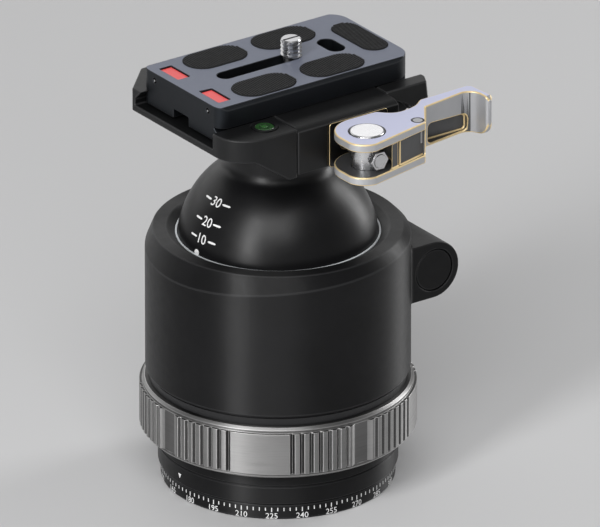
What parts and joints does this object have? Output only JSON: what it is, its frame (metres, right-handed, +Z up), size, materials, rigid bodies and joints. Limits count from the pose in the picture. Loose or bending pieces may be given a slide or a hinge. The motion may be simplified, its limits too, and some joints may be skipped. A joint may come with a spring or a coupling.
{
  "type": "tripod ball head",
  "caption": "Large tripod ball head: panning base, ring lock, ball in a tall round body, lever clamp and sliding quick plate with a camera screw.",
  "frame": {"origin": "mouth of the tripod thread, in the middle of the underside of the panning base", "axes": "+Z up along the pan axis towards the camera; +X along the clamp's jaws, towards the side boss; the fixed jaw is at +Y, the sliding jaw and its lever are at -Y"},
  "size_m": [0.0926, 0.0938, 0.1389],
  "materials": {
    "body_black": "satin black anodised",
    "band_black": "satin black anodised",
    "ring_grey": "turned and ribbed, grey anodised",
    "ball_black": "fine satin black anodised",
    "clamp_black": "satin black anodised",
    "plate_black": "satin black anodised",
    "lever_silver": "satin bright",
    "hardware_steel": "bright",
    "dark_steel": "black oxide",
    "spring_steel": "satin",
    "bronze": "turned",
    "rim_white": "low-friction plastic",
    "slip_plastic": "low-friction plastic",
    "pad_rubber": "ribbed black",
    "insert_red": "red",
    "vial_green": "clear over green fluid"
  },
  "bodies": {
    "base": {"base_disc": "band_black", "thread_bush": "hardware_steel", "pan_retainer": "hardware_steel", "retainer_screws": "dark_steel"},
    "housing": {"lower_housing": "band_black", "pan_bush": "bronze", "pan_washers": "slip_plastic", "main_housing": "body_black", "housing_grub_screws": "dark_steel", "boss_plugs": "body_black", "ring_washer": "slip_plastic", "cam_washer": "slip_plastic", "guide_pins": "hardware_steel", "glide_clip": "spring_steel", "pressure_cup": "hardware_steel", "disc_springs": "spring_steel"},
    "ring": {"lock_ring": "ring_grey", "drive_keys": "hardware_steel", "cam_ring": "hardware_steel"},
    "press": {"lift_ring": "bronze"},
    "glide": {"glide_ring": "rim_white"},
    "liner": {"liner_dish": "slip_plastic"},
    "head": {"ball": "ball_black", "clamp_bolt": "dark_steel", "twist_pins": "hardware_steel", "clamp_base": "clamp_black", "level_cup": "clamp_black", "level_vial": "vial_green", "jaw_pins": "hardware_steel", "jaw_springs": "spring_steel", "draw_stud": "hardware_steel", "pivot_barrel": "hardware_steel", "stud_nut": "hardware_steel"},
    "lever": {"cam_lever": "lever_silver", "lever_rivet": "lever_silver"},
    "jaw": {"sliding_jaw": "clamp_black", "wear_plate": "dark_steel"},
    "plate": {"quick_plate": "plate_black", "rubber_pads": "pad_rubber", "plate_inserts": "insert_red", "plate_stops": "hardware_steel"},
    "carriage": {"screw_washer": "spring_steel"},
    "screw": {"camera_screw": "hardware_steel"}
  },
  "joints": [
    {"name": "pan", "type": "hinge", "parent": "base", "child": "housing", "pos_m": [0, 0, 0.0104], "axis": [0, 0, 1], "continuous": true},
    {"name": "ring_lock", "type": "hinge", "parent": "housing", "child": "ring", "pos_m": [0, 0, 0.0239], "axis": [0, 0, -1], "range_deg": [0, 60]},
    {"name": "press_lift", "type": "slide", "parent": "housing", "child": "press", "axis": [0, 0, 1], "range_m": [0, 0.00081], "deforming": ["disc_springs"]},
    {"name": "ball_spin", "type": "hinge", "parent": "housing", "child": "glide", "pos_m": [0, 0, 0.07465], "axis": [0, 0, 1], "continuous": true},
    {"name": "ball_tilt_x", "type": "hinge", "parent": "glide", "child": "liner", "pos_m": [0, 0, 0.07465], "axis": [1, 0, 0], "range_deg": [-35, 35]},
    {"name": "ball_tilt_y", "type": "hinge", "parent": "liner", "child": "head", "pos_m": [0, 0, 0.07465], "axis": [0, 1, 0], "range_deg": [-35, 35]},
    {"name": "lever_turn", "type": "hinge", "parent": "head", "child": "lever", "pos_m": [0.001, -0.04355, 0.119], "axis": [0, 0, -1], "range_deg": [0, 90]},
    {"name": "jaw_slide", "type": "slide", "parent": "head", "child": "jaw", "axis": [0, -1, 0], "range_m": [0, 0.00121]},
    {"name": "plate_slide", "type": "slide", "parent": "head", "child": "plate", "axis": [1, 0, 0], "range_m": [-0.006, 0.006]},
    {"name": "screw_slide", "type": "slide", "parent": "plate", "child": "carriage", "axis": [1, 0, 0], "range_m": [-0.0237, 0]},
    {"name": "screw_turn", "type": "hinge", "parent": "carriage", "child": "screw", "pos_m": [0.0048, 0, 0.129], "axis": [0, 0, 1], "continuous": true}
  ],
  "couplings": [
    {"joint": "press_lift", "follows": "ring_lock", "m_per_rad": 0.00076394},
    {"joint": "jaw_slide", "follows": "lever_turn", "m_per_rad": 0.00076394}
  ]
}
